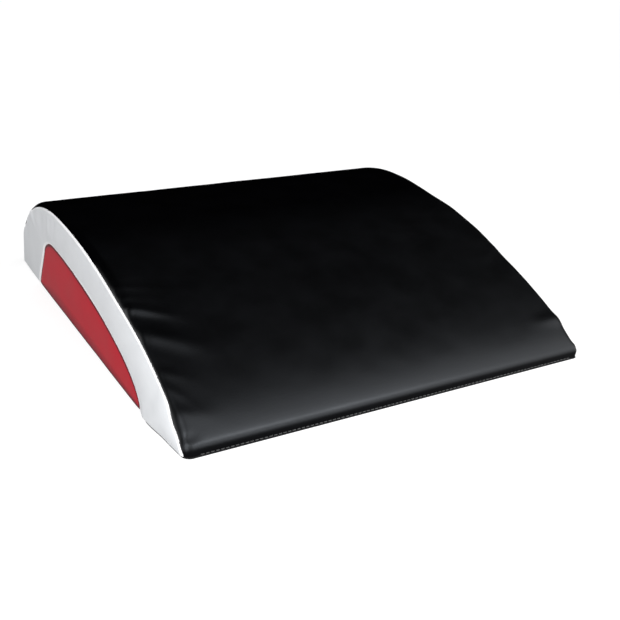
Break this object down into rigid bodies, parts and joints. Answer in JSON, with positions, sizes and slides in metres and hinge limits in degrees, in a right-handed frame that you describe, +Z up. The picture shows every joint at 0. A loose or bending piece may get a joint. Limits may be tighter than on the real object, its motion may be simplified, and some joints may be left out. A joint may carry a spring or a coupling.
{
  "type": "ab mat",
  "caption": "Wedge-shaped sit-up mat with a long crowned top: a foam block in a sewn black cover with pale side panels, red insets and a zip low on the back.",
  "frame": {"origin": "on the floor under the middle of the mat: the middle of its width and of its depth, at the underside of the base panel", "axes": "+X to the right of a user who faces the low front edge, across the mat; +Y from the low front edge to the back; +Z up"},
  "size_m": [0.3184, 0.37, 0.0833],
  "materials": {
    "foam": "matte",
    "black_cover": "satin",
    "pale_cover": "satin",
    "red_cover": "satin",
    "base_fabric": "matte",
    "grey_thread": "matte",
    "black_thread": "matte",
    "zip_tape": "matte",
    "zip_teeth": "satin",
    "zip_metal": "satin"
  },
  "bodies": {
    "mat": {"foam_core": "foam", "top_cover": "black_cover", "rear_strip": "black_cover", "base_panel": "base_fabric", "side_panel_left": "pale_cover", "side_panel_right": "pale_cover", "side_inset_left": "red_cover", "side_inset_right": "red_cover", "front_topstitch": "grey_thread", "side_stitch_left": "black_thread", "side_stitch_right": "black_thread", "zip_stitch_upper": "black_thread", "zip_stitch_lower": "black_thread", "zip_tape_upper": "zip_tape", "zip_tape_lower": "zip_tape", "zip_teeth_upper": "zip_teeth", "zip_teeth_lower": "zip_teeth", "zip_top_stop_upper": "zip_metal", "zip_top_stop_lower": "zip_metal", "zip_bottom_stop": "zip_metal"},
    "slider": {"zip_slider": "zip_metal"},
    "pull": {"zip_pull": "zip_metal"}
  },
  "joints": [
    {"name": "zip_slide", "type": "slide", "parent": "mat", "child": "slider", "axis": [1, 0, 0], "range_m": [0, 0.235]},
    {"name": "pull_swing", "type": "hinge", "parent": "slider", "child": "pull", "pos_m": [-0.1175, 0.18242, 0.01608], "axis": [0, -0.2588, 0.9659], "range_deg": [0, 170]}
  ]
}
